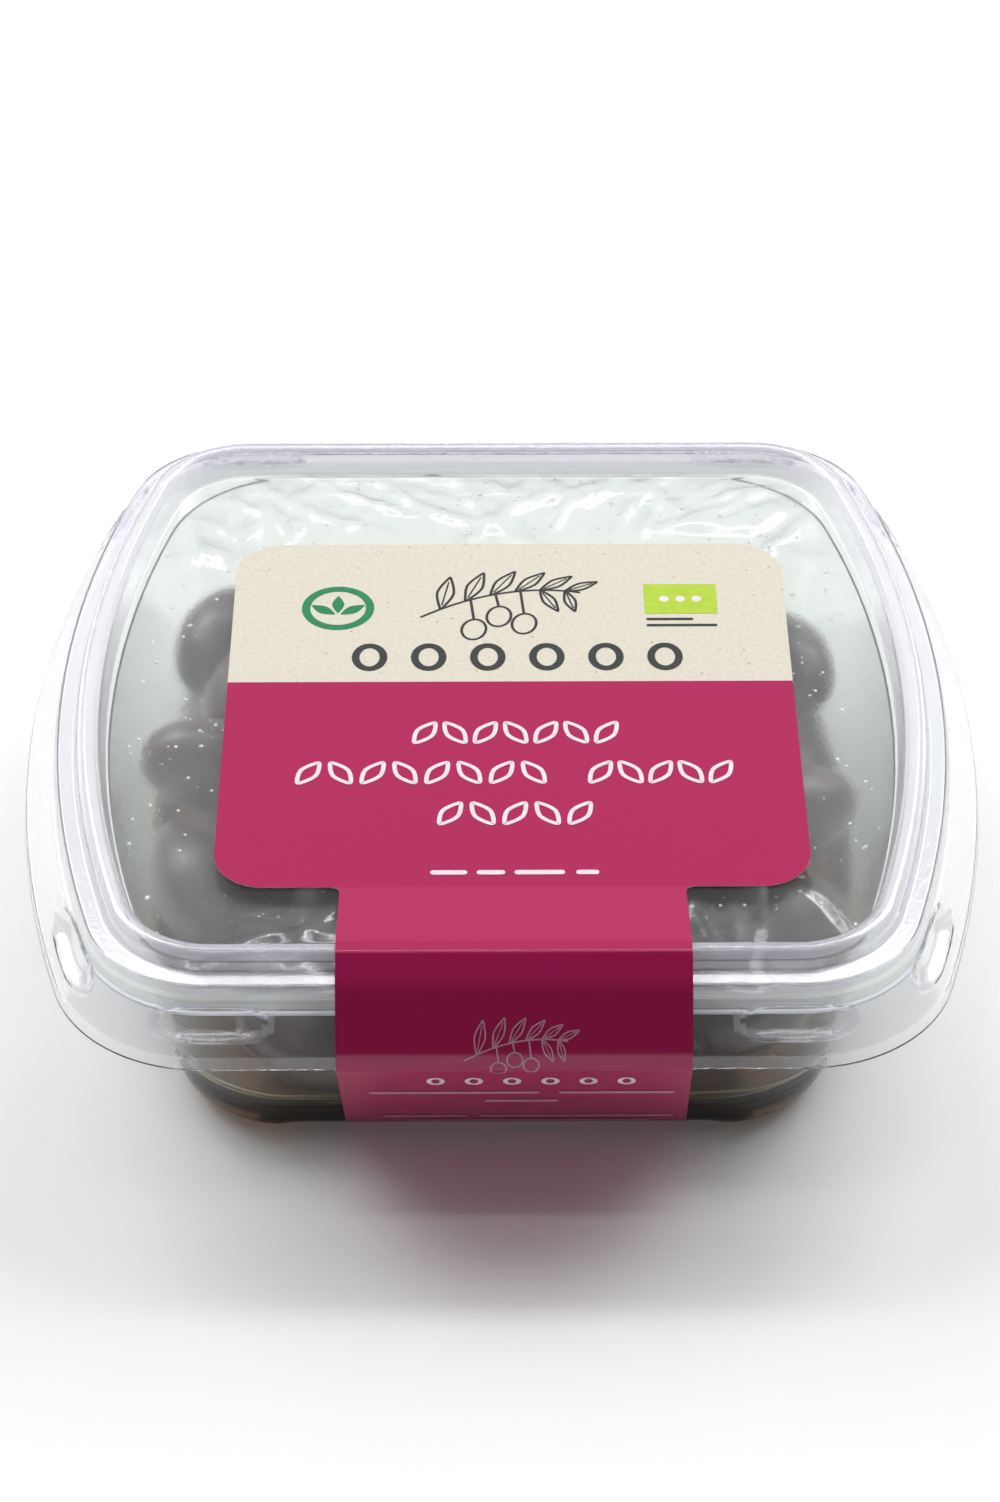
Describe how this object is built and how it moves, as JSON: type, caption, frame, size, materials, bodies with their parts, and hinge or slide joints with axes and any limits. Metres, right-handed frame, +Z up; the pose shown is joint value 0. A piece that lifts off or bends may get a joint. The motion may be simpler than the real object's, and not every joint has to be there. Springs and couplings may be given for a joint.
{
  "type": "lidded clear tub of olives",
  "caption": "Shut clear plastic tub of dark olives in oil, with a sealing film, a press-on lid and a paper label folded over the front.",
  "frame": {"origin": "centre of the pack's footprint, on the plane that it stands on", "axes": "+Z up out of the lid, -Y towards the front that the label folds over, +X to the right seen from the front"},
  "size_m": [0.1644, 0.1643, 0.0477],
  "materials": {
    "tub_plastic": "clear gloss",
    "seal_film": "clear gloss",
    "lid_plastic": "clear gloss",
    "label_paper": "satin",
    "olives": "oily"
  },
  "bodies": {
    "root": {"tub": "tub_plastic", "seal_film": "seal_film", "lid": "lid_plastic", "label": "label_paper", "olives": "olives"}
  },
  "joints": []
}
